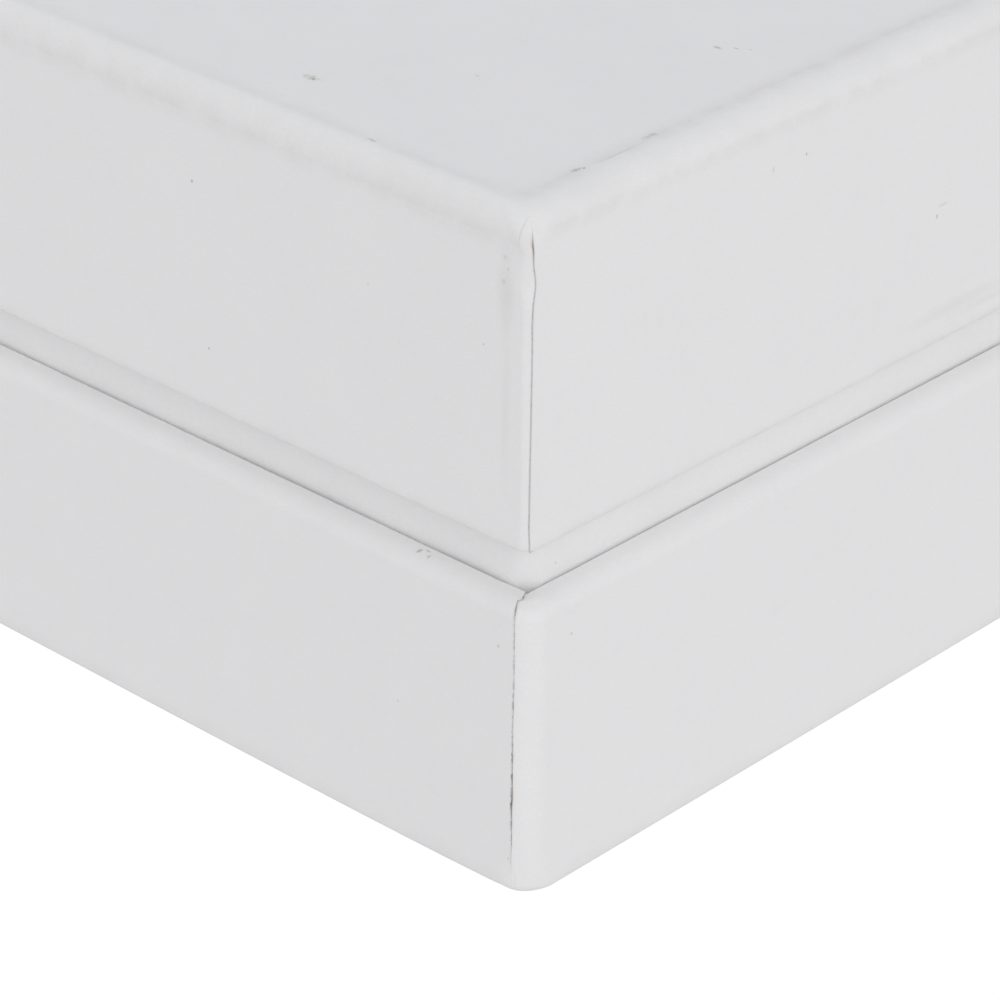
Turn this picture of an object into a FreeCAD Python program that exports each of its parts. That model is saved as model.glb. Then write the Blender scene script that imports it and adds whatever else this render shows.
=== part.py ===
"""Jewelry gift box: a paper-wrapped rigid box with a lift-off lid and an inner neck.

The base and the lid are greyboard trays with the same footprint. A neck glued inside the base
stands taller than the base's rim, and the lid slides over it and rests on it, so that a narrow
band of the neck shows between the two. A velvet pad for the jewelry stands inside the neck.

Units are millimetres. +Z is up, the origin is the centre of the underside, and the walls face
along X and Y.
"""

import FreeCAD, Part
import os

from FreeCAD import Vector

# Overall size
SIDE = 100.0
HEIGHT = 60.0
BASE_HEIGHT = 26.7
REVEAL_GAP = 4.9

# Sheet materials
BOARD = 2.0
NECK_BOARD = 1.5
CARD = 1.0
PAPER = 0.15
STAY_TAPE = 0.12
VELVET = 0.5
SATIN = 0.4
RIBBON = 0.5

# Rounding of the wrapped edges, measured on the outside of the paper
CORNER_RADIUS = 1.6
BASE_EDGE_RADIUS = 0.8
LID_EDGE_RADIUS = 1.5
RIM_RADIUS = 0.6
NECK_CORNER_RADIUS = 2.0

# Depths of the paper's turn-ins and of the corner stays
TRAY_TURN_IN = 15.0
NECK_TURN_IN = 30.0
STAY_LEG = 12.0
STAY_END_GAP = 2.5

# Fits
NECK_GAP = 0.2
LINER_EDGE_GAP = 0.1
RISER_EDGE_GAP = 0.5
PAD_EDGE_GAP = 0.9
LID_PAD_EDGE_GAP = 1.2

# Neck
NECK_BUTT_GAP = 0.3
NECK_TAPE_WIDTH = 20.0
NECK_TAPE_LIFT = 1.0
FIXING_TAPE_LENGTH = 80.0
FIXING_TAPE_WIDTH = 10.0

# Insert
RISER_HEIGHT = 16.0
RISER_CORNER_CUT = 1.2
PAD_BOARD = 1.5
PAD_FOAM = 12.0
PAD_TOP_RADIUS = 2.4
PAD_CORNER_RADIUS = 2.0
PAD_TURN_UNDER = 12.0
SLIT_DEPTH = 9.0
RING_SLIT = (30.0, 2.4)
EARRING_SLIT = (9.0, 1.2)
EARRING_PLACE = (20.0, 20.0)
CHAIN_NOTCH = (1.6, 8.0)
CHAIN_NOTCH_PLACE = 28.0
CHAIN_NOTCH_DEPTH = 5.0

# Ribbon
RIBBON_WIDTH = 10.0
RIBBON_UNDER = 20.0
RIBBON_OVER = 22.0
RIBBON_REST_GAP = 0.1

# Cushion in the lid
LID_PAD_CARD = 1.0
LID_PAD_FOAM = 4.0
LID_PAD_TURN_OVER = 10.0
LID_PAD_CORNER_RADIUS = 2.0
LID_PAD_FACE_RADIUS = 1.5

# Heights and half widths that follow from the sizes above
HALF = SIDE / 2
TRAY_HALF = HALF - PAPER
TRAY_INNER_HALF = TRAY_HALF - BOARD
TURN_IN_HALF = TRAY_INNER_HALF - PAPER
LID_BOTTOM = BASE_HEIGHT + REVEAL_GAP
CEILING = HEIGHT - PAPER - BOARD
NECK_TOP = CEILING - PAPER
BASE_FLOOR = PAPER + BOARD
NECK_BOTTOM = BASE_FLOOR + PAPER
NECK_HALF = TURN_IN_HALF - NECK_GAP
NECK_BOARD_HALF = NECK_HALF - PAPER
NECK_BOARD_INNER_HALF = NECK_BOARD_HALF - NECK_BOARD
NECK_INNER_HALF = NECK_BOARD_INNER_HALF - PAPER
RISER_HALF = NECK_INNER_HALF - RISER_EDGE_GAP
RISER_TOP = NECK_BOTTOM + RISER_HEIGHT
PAD_HALF = NECK_INNER_HALF - PAD_EDGE_GAP
PAD_CORE_HALF = PAD_HALF - VELVET
PAD_BOARD_BOTTOM = RISER_TOP + VELVET
FOAM_BOTTOM = PAD_BOARD_BOTTOM + PAD_BOARD
FOAM_TOP = FOAM_BOTTOM + PAD_FOAM
PAD_TOP = FOAM_TOP + VELVET
LID_PAD_HALF = NECK_INNER_HALF - LID_PAD_EDGE_GAP
LID_PAD_CORE_HALF = LID_PAD_HALF - SATIN
LID_PAD_CARD_BOTTOM = NECK_TOP - SATIN - LID_PAD_CARD
LID_PAD_FOAM_BOTTOM = LID_PAD_CARD_BOTTOM - LID_PAD_FOAM
LID_PAD_FACE = LID_PAD_FOAM_BOTTOM - SATIN

# Paper folded round a board: its inner radius is one paper thickness smaller than its outer one
TRAY_CORNER_RADIUS = CORNER_RADIUS - PAPER
TRAY_RIM_RADIUS = RIM_RADIUS - PAPER
NECK_BOARD_RADIUS = NECK_CORNER_RADIUS - PAPER
NECK_BOARD_INNER_RADIUS = NECK_BOARD_RADIUS - NECK_BOARD

OVERCUT = 1.0
TOLERANCE = 1e-4


def box(low, high):
    """A box between two opposite corners."""
    size = Vector(*high) - Vector(*low)
    return Part.makeBox(size.x, size.y, size.z, Vector(*low))


def square_block(half, bottom, top):
    """A square block centred on the Z axis."""
    return box((-half, -half, bottom), (half, half, top))


def level_edges(shape, level):
    """The edges that lie in one horizontal plane."""
    return [
        edge
        for edge in shape.Edges
        if all(abs(vertex.Z - level) < TOLERANCE for vertex in edge.Vertexes)
    ]


def upright_edges(shape):
    """The edges that run straight up."""
    return [edge for edge in shape.Edges if edge.BoundBox.ZLength > edge.BoundBox.DiagonalLength - TOLERANCE]


def soft_block(half, bottom, top, corner, low_edge=0.0, high_edge=0.0):
    """A square block with rounded corners, and rounded edges below and above."""
    shape = square_block(half, bottom, top)
    shape = shape.makeFillet(corner, upright_edges(shape))
    if low_edge:
        shape = shape.makeFillet(low_edge, level_edges(shape, bottom))
    if high_edge:
        shape = shape.makeFillet(high_edge, level_edges(shape, top))
    return shape


def turned(shape, quarter):
    """A copy of a shape, turned by quarter turns about the Z axis."""
    copy = shape.copy()
    copy.rotate(Vector(0, 0, 0), Vector(0, 0, 1), 90 * quarter)
    return copy


def flipped(shape):
    """The same shape upside down, in the lid's place at the top of the box."""
    copy = shape.copy()
    copy.rotate(Vector(0, 0, 0), Vector(1, 0, 0), 180)
    copy.translate(Vector(0, 0, HEIGHT))
    return copy


def tray_envelope(height, edge_radius):
    """The outside of a bare board tray, filled in."""
    return soft_block(
        TRAY_HALF, PAPER, height - PAPER, TRAY_CORNER_RADIUS, edge_radius - PAPER, TRAY_RIM_RADIUS
    )


def corner_stays(height):
    """Four tape angles, let into the outside of a tray's upright corners."""
    ring = soft_block(TRAY_HALF, PAPER, height, TRAY_CORNER_RADIUS)
    ring = ring.cut(soft_block(TRAY_HALF - STAY_TAPE, 0, height + OVERCUT, TRAY_CORNER_RADIUS - STAY_TAPE))
    low = TRAY_HALF - STAY_LEG
    high = TRAY_HALF + OVERCUT
    corner = box(
        (low, low, PAPER + STAY_END_GAP),
        (high, high, height - PAPER - STAY_END_GAP),
    )
    stay = ring.common(corner)
    return [turned(stay, quarter) for quarter in range(4)]


def board_tray(height, edge_radius, stays):
    """A greyboard tray: a bottom panel and four walls, with shallow seats for the corner stays."""
    tray = tray_envelope(height, edge_radius)
    tray = tray.cut(square_block(TRAY_INNER_HALF, BASE_FLOOR, height))
    for stay in stays:
        tray = tray.cut(stay)
    return tray


def tray_wrap(height, edge_radius):
    """The outer paper of a tray, folded over its rim and down the inside of its walls."""
    outside = soft_block(HALF, 0, height, CORNER_RADIUS, edge_radius, RIM_RADIUS)
    skin = outside.cut(tray_envelope(height, edge_radius))
    skin = skin.cut(square_block(TURN_IN_HALF, BASE_FLOOR, height + OVERCUT))
    turn_in = square_block(TRAY_INNER_HALF, height - TRAY_TURN_IN, height - PAPER)
    turn_in = turn_in.cut(square_block(TURN_IN_HALF, BASE_FLOOR, height))
    return skin.fuse(turn_in).removeSplitter()


def liner():
    """The paper sheet on the inner face of a tray's panel."""
    return square_block(TURN_IN_HALF - LINER_EDGE_GAP, BASE_FLOOR, NECK_BOTTOM)


def neck_board():
    """A board strip folded into a square ring; its ends meet in the middle of the back wall."""
    ring = soft_block(NECK_BOARD_HALF, NECK_BOTTOM, NECK_TOP - PAPER, NECK_BOARD_RADIUS)
    hole = soft_block(NECK_BOARD_INNER_HALF, 0, HEIGHT, NECK_BOARD_INNER_RADIUS)
    butt_joint = box((-NECK_BUTT_GAP / 2, 0, 0), (NECK_BUTT_GAP / 2, HALF, HEIGHT))
    return ring.cut(hole).cut(butt_joint)


def neck_wrap():
    """The neck's paper: all of its outside, its top rim, and a deep turn-in on its inside."""
    outside = soft_block(NECK_HALF, NECK_BOTTOM, NECK_TOP, NECK_CORNER_RADIUS)
    board = soft_block(NECK_BOARD_HALF, 0, NECK_TOP - PAPER, NECK_BOARD_RADIUS)
    board_hole = soft_block(NECK_BOARD_INNER_HALF, 0, HEIGHT, NECK_BOARD_INNER_RADIUS)
    paper_hole = soft_block(NECK_INNER_HALF, 0, HEIGHT, NECK_BOARD_INNER_RADIUS - PAPER)
    skin = outside.cut(board).cut(paper_hole)
    turn_in = board_hole.cut(paper_hole)
    turn_in = turn_in.common(square_block(HALF, NECK_TOP - NECK_TURN_IN, NECK_TOP - PAPER))
    return skin.fuse(turn_in).removeSplitter()


def neck_joint_tape():
    """Tape over the ring's closing joint, on its inner face below the paper's turn-in."""
    face = NECK_BOARD_INNER_HALF
    return box(
        (-NECK_TAPE_WIDTH / 2, face - STAY_TAPE, NECK_BOTTOM + NECK_TAPE_LIFT),
        (NECK_TAPE_WIDTH / 2, face, NECK_TOP - NECK_TURN_IN - NECK_TAPE_LIFT),
    )


def neck_fixing_tapes():
    """Double-sided tape between the neck and each wall's turn-in."""
    middle = BASE_HEIGHT - TRAY_TURN_IN / 2
    strip = box(
        (NECK_HALF, -FIXING_TAPE_LENGTH / 2, middle - FIXING_TAPE_WIDTH / 2),
        (TURN_IN_HALF, FIXING_TAPE_LENGTH / 2, middle + FIXING_TAPE_WIDTH / 2),
    )
    return [turned(strip, quarter) for quarter in range(4)]


def insert_riser():
    """A card stand: a top panel with four skirts folded down, open at the corners."""
    top_panel = square_block(RISER_HALF, RISER_TOP - CARD, RISER_TOP)
    shape = top_panel
    skirt_half = RISER_HALF - CARD - RISER_CORNER_CUT
    for quarter in range(4):
        skirt = box(
            (RISER_HALF - CARD, -skirt_half, NECK_BOTTOM),
            (RISER_HALF, skirt_half, RISER_TOP - CARD),
        )
        shape = shape.fuse(turned(skirt, quarter))
    return shape.removeSplitter()


def pad_slits():
    """What is cut out of the pad: a ring slit, two earring slits and four chain notches."""
    bottom = PAD_TOP - SLIT_DEPTH
    length, width = RING_SLIT
    cuts = [
        box((-length / 2, -width / 2, bottom), (length / 2, width / 2, PAD_TOP + OVERCUT))
    ]
    length, width = EARRING_SLIT
    place_x, place_y = EARRING_PLACE
    for side in (-1, 1):
        cuts.append(
            box(
                (side * place_x - length / 2, place_y - width / 2, bottom),
                (side * place_x + length / 2, place_y + width / 2, PAD_TOP + OVERCUT),
            )
        )
    width, length = CHAIN_NOTCH
    for side_x in (-1, 1):
        for side_y in (-1, 1):
            centre_x = side_x * CHAIN_NOTCH_PLACE
            ends = sorted((side_y * (PAD_HALF - length), side_y * (PAD_HALF + OVERCUT)))
            cuts.append(
                box(
                    (centre_x - width / 2, ends[0], PAD_TOP - CHAIN_NOTCH_DEPTH),
                    (centre_x + width / 2, ends[1], PAD_TOP + OVERCUT),
                )
            )
    return Part.makeCompound(cuts)


def pad_board():
    """The card that stiffens the pad."""
    return square_block(PAD_CORE_HALF, PAD_BOARD_BOTTOM, FOAM_BOTTOM)


def foam_block():
    """The foam before its slits are cut, with its top edges eased."""
    return soft_block(
        PAD_CORE_HALF, FOAM_BOTTOM, FOAM_TOP, PAD_CORNER_RADIUS, 0, PAD_TOP_RADIUS - VELVET
    )


def foam_pad():
    """The foam block with its slits."""
    return foam_block().cut(pad_slits())


def ribbon_pull():
    """A flat loop of ribbon: glued under the pad, up behind it, and folded over its top."""
    back = PAD_HALF + RIBBON_REST_GAP
    over = PAD_TOP + RIBBON_REST_GAP
    half = RIBBON_WIDTH / 2
    under = box((-half, back - RIBBON_UNDER, RISER_TOP), (half, back + RIBBON, RISER_TOP + RIBBON))
    rise = box((-half, back, RISER_TOP), (half, back + RIBBON, over + RIBBON))
    fold = box((-half, back - RIBBON_OVER, over), (half, back + RIBBON, over + RIBBON))
    return under.fuse(rise).fuse(fold).removeSplitter()


def velvet_cover():
    """Velvet over the foam's top and sides, turned under the pad board and cut for the ribbon."""
    outside = soft_block(PAD_HALF, RISER_TOP, PAD_TOP, PAD_CORNER_RADIUS + VELVET, 0, PAD_TOP_RADIUS)
    shape = outside.cut(foam_block()).cut(pad_board())
    shape = shape.cut(square_block(PAD_CORE_HALF - PAD_TURN_UNDER, 0, PAD_BOARD_BOTTOM))
    return shape.cut(pad_slits()).cut(ribbon_pull())


def lid_pad_card():
    """The card behind the lid's cushion."""
    return square_block(LID_PAD_CORE_HALF, LID_PAD_CARD_BOTTOM, LID_PAD_CARD_BOTTOM + LID_PAD_CARD)


def lid_pad_foam():
    """The lid cushion's foam, with its lower edges eased."""
    return soft_block(
        LID_PAD_CORE_HALF,
        LID_PAD_FOAM_BOTTOM,
        LID_PAD_CARD_BOTTOM,
        LID_PAD_CORNER_RADIUS,
        LID_PAD_FACE_RADIUS,
    )


def lid_pad_cover():
    """Satin over the lid's cushion, turned over the back of its card."""
    outside = soft_block(
        LID_PAD_HALF,
        LID_PAD_FACE,
        NECK_TOP,
        LID_PAD_CORNER_RADIUS + SATIN,
        LID_PAD_FACE_RADIUS + SATIN,
    )
    shape = outside.cut(lid_pad_foam()).cut(lid_pad_card())
    opening = square_block(LID_PAD_CORE_HALF - LID_PAD_TURN_OVER, NECK_TOP - SATIN, HEIGHT)
    return shape.cut(opening)


def numbered(name, shapes):
    """Names for a set of like pieces."""
    return {f"{name}_{index}": shape for index, shape in enumerate(shapes, 1)}


def base_nodes():
    """The base tray and its papers."""
    stays = corner_stays(BASE_HEIGHT)
    nodes = {
        "base_board": board_tray(BASE_HEIGHT, BASE_EDGE_RADIUS, stays),
        "base_wrap": tray_wrap(BASE_HEIGHT, BASE_EDGE_RADIUS),
        "base_liner": liner(),
    }
    nodes.update(numbered("base_corner_stay", stays))
    return nodes


def neck_nodes():
    """The neck that is glued into the base."""
    nodes = {
        "neck_board": neck_board(),
        "neck_wrap": neck_wrap(),
        "neck_joint_tape": neck_joint_tape(),
    }
    nodes.update(numbered("neck_fixing_tape", neck_fixing_tapes()))
    return nodes


def insert_nodes():
    """The stand and the pad that hold the jewelry."""
    return {
        "insert_riser": insert_riser(),
        "pad_board": pad_board(),
        "foam_pad": foam_pad(),
        "velvet_cover": velvet_cover(),
        "ribbon_pull": ribbon_pull(),
    }


def lid_nodes():
    """The lid: the same kind of tray as the base, turned over, with a cushion inside."""
    height = HEIGHT - LID_BOTTOM
    stays = corner_stays(height)
    nodes = {
        "lid_board": flipped(board_tray(height, LID_EDGE_RADIUS, stays)),
        "lid_wrap": flipped(tray_wrap(height, LID_EDGE_RADIUS)),
        "lid_liner": flipped(liner()),
        "lid_pad_card": lid_pad_card(),
        "lid_pad_foam": lid_pad_foam(),
        "lid_pad_cover": lid_pad_cover(),
    }
    nodes.update(numbered("lid_corner_stay", [flipped(stay) for stay in stays]))
    return nodes


def main():
    """Write one STEP file for each piece."""
    os.makedirs("parts", exist_ok=True)
    for group in (base_nodes(), neck_nodes(), insert_nodes(), lid_nodes()):
        for name, shape in group.items():
            solids = shape.Solids
            if len(solids) != 1 or not solids[0].isValid():
                raise ValueError(f"{name} is {len(solids)} solids")
            solid = solids[0]
            solid.exportStep(f"parts/{name}.step")
            print(f"{name}: {solid.Volume:.1f} mm3")


main()
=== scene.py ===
import math

import bpy
import numpy as np
from mathutils import Matrix, Vector, noise


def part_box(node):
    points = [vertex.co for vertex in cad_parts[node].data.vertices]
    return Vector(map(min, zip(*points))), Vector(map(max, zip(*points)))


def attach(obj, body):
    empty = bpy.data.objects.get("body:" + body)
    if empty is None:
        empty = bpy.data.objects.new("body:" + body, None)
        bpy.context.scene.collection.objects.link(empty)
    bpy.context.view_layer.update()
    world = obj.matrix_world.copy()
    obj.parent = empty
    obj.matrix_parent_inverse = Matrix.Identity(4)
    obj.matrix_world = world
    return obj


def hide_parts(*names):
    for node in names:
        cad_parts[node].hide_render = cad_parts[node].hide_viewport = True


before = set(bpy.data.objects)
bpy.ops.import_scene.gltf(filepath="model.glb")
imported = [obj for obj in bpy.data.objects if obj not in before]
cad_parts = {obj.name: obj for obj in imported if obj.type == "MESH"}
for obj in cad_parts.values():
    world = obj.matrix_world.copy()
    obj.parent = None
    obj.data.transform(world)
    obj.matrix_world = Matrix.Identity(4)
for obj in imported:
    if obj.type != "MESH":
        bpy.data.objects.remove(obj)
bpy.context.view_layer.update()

MM = 0.001


# ---------------------------------------------------------------- sizes, in millimetres, from the frame

def extent(node):
    """Lowest and highest corner of a CAD node, in millimetres."""
    low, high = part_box(node)
    return low / MM, high / MM


BASE_HIGH = extent("base_wrap")[1]
LID_LOW, LID_HIGH = extent("lid_wrap")
NECK_LOW, NECK_HIGH = extent("neck_wrap")
PAD_LOW, PAD_HIGH = extent("velvet_cover")
CUSHION_LOW, CUSHION_HIGH = extent("lid_pad_cover")
RIBBON_LOW, RIBBON_HIGH = extent("ribbon_pull")
FOAM_LOW, FOAM_HIGH = extent("foam_pad")
LID_FOAM_LOW, LID_FOAM_HIGH = extent("lid_pad_foam")

HALF = BASE_HIGH.x
HEIGHT = LID_HIGH.z
BASE_TOP = BASE_HIGH.z
LID_BOTTOM = LID_LOW.z
NECK_HALF = NECK_HIGH.x
PAPER = 0.15
BOARD = 2.0
NECK_PLAY = 0.2
RIM = HALF - NECK_HALF - NECK_PLAY
TURN_IN = 15.0
TAB_RADIUS = 2.2
# Within its play the lid sits a little off centre.
LID_SHIFT = Matrix.Translation(Vector((-0.18, -0.18, 0.0)) * MM)


def from_azimuth(azimuth, elevation):
    """The unit vector towards a place seen azimuth degrees round from -Y to +X, and elevation degrees up."""
    azimuth, elevation = math.radians(azimuth), math.radians(elevation)
    return Vector((math.sin(azimuth) * math.cos(elevation),
                   -math.cos(azimuth) * math.cos(elevation), math.sin(elevation)))


# ---------------------------------------------------------------- camera, floor and light

VIEW_AZIMUTH, VIEW_ELEVATION, VIEW_ROLL = 42.64, 28.69, 0.74
VIEW_DISTANCE = 329.9
VIEW_LENS, SENSOR = 156.5, 36.0
AIM_IN, AIM_UP = 3.2, 3.8


def add_camera():
    """A long lens at the near corner of the box, looking down on it."""
    azimuth, roll = math.radians(VIEW_AZIMUTH), math.radians(VIEW_ROLL)
    back = from_azimuth(VIEW_AZIMUTH, VIEW_ELEVATION)
    right = Vector((math.cos(azimuth), math.sin(azimuth), 0))
    above = back.cross(right)
    across = right * math.cos(roll) + above * math.sin(roll)
    upward = above * math.cos(roll) - right * math.sin(roll)
    aim = Vector((HALF - AIM_IN, -HALF, LID_BOTTOM + AIM_UP))
    data = bpy.data.cameras.new("camera")
    data.lens = VIEW_LENS
    data.sensor_width = SENSOR
    data.clip_start, data.clip_end = 0.01, 20.0
    camera = bpy.data.objects.new("camera", data)
    bpy.context.scene.collection.objects.link(camera)
    camera.matrix_world = Matrix.Translation((aim + back * VIEW_DISTANCE) * MM) @ Matrix(
        (across, upward, back)).transposed().to_4x4()
    bpy.context.scene.camera = camera


SKY_HIGH, SKY_LOW = (0.647, 0.656, 0.681), (0.654, 0.651, 0.663)
KEY_STRENGTH, KEY_SPREAD = 0.598, 38.0
KEY_AZIMUTH, KEY_ELEVATION = 56.0, 27.0
KEY_COLOUR = (1.0, 0.985, 0.955)
FLOOR_GLOW, FLOOR_SHARE = 0.68, 0.25
FLOOR_SEEN = 1.02
FLOOR_SIZE, FLOOR_DROP = 12, 0.0002


def add_light():
    """An even white tent, a little bluer from above, with one broad soft key from the right."""
    world = bpy.data.worlds.new("studio")
    bpy.context.scene.world = world
    world.use_nodes = True
    tree = world.node_tree
    background = tree.nodes["Background"]
    direction = tree.nodes.new("ShaderNodeTexCoord")
    split = tree.nodes.new("ShaderNodeSeparateXYZ")
    blend = tree.nodes.new("ShaderNodeMix")
    blend.data_type = "RGBA"
    blend.inputs["A"].default_value = (*SKY_LOW, 1)
    blend.inputs["B"].default_value = (*SKY_HIGH, 1)
    tree.links.new(direction.outputs["Generated"], split.inputs[0])
    tree.links.new(split.outputs["Z"], blend.inputs["Factor"])
    tree.links.new(blend.outputs["Result"], background.inputs["Color"])

    key = bpy.data.lights.new("key", "SUN")
    key.energy = KEY_STRENGTH
    key.angle = math.radians(KEY_SPREAD)
    key.color = KEY_COLOUR
    lamp = bpy.data.objects.new("key", key)
    bpy.context.scene.collection.objects.link(lamp)
    lamp.rotation_mode = "QUATERNION"
    lamp.rotation_quaternion = from_azimuth(KEY_AZIMUTH, KEY_ELEVATION).to_track_quat("Z", "Y")


def add_floor():
    """A white sweep that glows like a light table, so it shows no edge and hardly a shadow."""
    bpy.ops.mesh.primitive_plane_add(size=FLOOR_SIZE, location=(0, 0, -FLOOR_DROP))
    floor = bpy.context.object
    floor.name = "floor"
    material = bpy.data.materials.new("white_sweep")
    material.use_nodes = True
    tree = material.node_tree
    tree.nodes.clear()
    seen = tree.nodes.new("ShaderNodeEmission")
    seen.inputs["Strength"].default_value = FLOOR_SEEN
    glow = tree.nodes.new("ShaderNodeEmission")
    glow.inputs["Color"].default_value = (*SKY_LOW, 1)
    glow.inputs["Strength"].default_value = FLOOR_GLOW / SKY_LOW[0]
    board = tree.nodes.new("ShaderNodeBsdfDiffuse")
    board.inputs["Color"].default_value = (0.8, 0.8, 0.8, 1)
    under = tree.nodes.new("ShaderNodeMixShader")
    under.inputs[0].default_value = FLOOR_SHARE
    rays = tree.nodes.new("ShaderNodeLightPath")
    pick = tree.nodes.new("ShaderNodeMixShader")
    out = tree.nodes.new("ShaderNodeOutputMaterial")
    tree.links.new(glow.outputs[0], under.inputs[1])
    tree.links.new(board.outputs[0], under.inputs[2])
    tree.links.new(rays.outputs["Is Camera Ray"], pick.inputs[0])
    tree.links.new(under.outputs[0], pick.inputs[1])
    tree.links.new(seen.outputs[0], pick.inputs[2])
    tree.links.new(pick.outputs[0], out.inputs[0])
    floor.data.materials.append(material)


# ---------------------------------------------------------------- node helpers

class Maker:
    """Builds one material's nodes with short calls. Positions inside it are in millimetres."""

    def __init__(self, name):
        self.material = bpy.data.materials.new(name)
        self.material.use_nodes = True
        self.tree = self.material.node_tree
        self.shader = self.tree.nodes["Principled BSDF"]
        place = self.node("ShaderNodeTexCoord").outputs["Object"]
        self.place = self.vector("SCALE", place, scale=1 / MM)

    def node(self, kind, **settings):
        made = self.tree.nodes.new(kind)
        for key, value in settings.items():
            setattr(made, key, value)
        return made

    def feed(self, socket, value):
        if isinstance(value, bpy.types.NodeSocket):
            self.tree.links.new(value, socket)
        elif isinstance(value, (tuple, list)) and len(value) == 3 and socket.type == "RGBA":
            socket.default_value = (*value, 1)
        else:
            socket.default_value = value

    def math(self, operation, a, b=0.0, clamp=False):
        made = self.node("ShaderNodeMath", operation=operation, use_clamp=clamp)
        self.feed(made.inputs[0], a)
        self.feed(made.inputs[1], b)
        return made.outputs[0]

    def vector(self, operation, a, b=None, scale=None):
        made = self.node("ShaderNodeVectorMath", operation=operation)
        self.feed(made.inputs[0], a)
        if b is not None:
            self.feed(made.inputs[1], b)
        if scale is not None:
            self.feed(made.inputs["Scale"], scale)
        return made.outputs["Value"] if operation == "LENGTH" else made.outputs[0]

    def noise(self, size, detail=2.0, rough=0.5, stretch=(1, 1, 1)):
        """Noise from about 0 to 1 whose lumps are size millimetres across."""
        place = self.vector("MULTIPLY", self.place, stretch)
        made = self.node("ShaderNodeTexNoise")
        self.feed(made.inputs["Vector"], place)
        made.inputs["Scale"].default_value = 1 / size
        made.inputs["Detail"].default_value = detail
        made.inputs["Roughness"].default_value = rough
        return made.outputs["Fac"]

    def spread(self, value, low, high, to_low=0.0, to_high=1.0):
        made = self.node("ShaderNodeMapRange", interpolation_type="SMOOTHSTEP")
        self.feed(made.inputs["Value"], value)
        self.feed(made.inputs["From Min"], low)
        self.feed(made.inputs["From Max"], high)
        self.feed(made.inputs["To Min"], to_low)
        self.feed(made.inputs["To Max"], to_high)
        return made.outputs[0]

    def mix(self, share, a, b, kind="MIX"):
        made = self.node("ShaderNodeMix", data_type="RGBA", blend_type=kind)
        self.feed(made.inputs["Factor"], share)
        self.feed(made.inputs["A"], a)
        self.feed(made.inputs["B"], b)
        return made.outputs["Result"]

    def mask(self, name):
        return self.node("ShaderNodeAttribute", attribute_name=name).outputs["Fac"]

    def bump(self, height, depth, normal=None):
        """Bump whose height, from 0 to 1, stands for depth millimetres."""
        made = self.node("ShaderNodeBump")
        self.feed(made.inputs["Height"], height)
        made.inputs["Distance"].default_value = depth * MM
        made.inputs["Strength"].default_value = 1.0
        if normal is not None:
            self.feed(made.inputs["Normal"], normal)
        return made.outputs[0]

    def finish(self, colour, roughness, normal=None, **sockets):
        self.feed(self.shader.inputs["Base Color"], colour)
        self.feed(self.shader.inputs["Roughness"], roughness)
        if normal is not None:
            self.feed(self.shader.inputs["Normal"], normal)
        for name, value in sockets.items():
            self.feed(self.shader.inputs[name.replace("_", " ")], value)
        return self.material


def darker(tone, share):
    return tuple(share * c for c in tone)


# ---------------------------------------------------------------- paper and board materials

# This greenish grey tints soil on the marks, and on the wraps' edges and crevice it is painted shade as well.
GRIME_AND_SHADE = (0.50, 0.49, 0.40)
SOIL = (0.24, 0.23, 0.17)
# This near-black darkens dirt specks, and in the seams and the lid's corner crease it is painted shade as
# well.
DIRT_AND_SHADE = (0.09, 0.095, 0.08)
KRAFT = (0.33, 0.20, 0.10)
STAY_KRAFT = (0.42, 0.31, 0.19)

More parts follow.
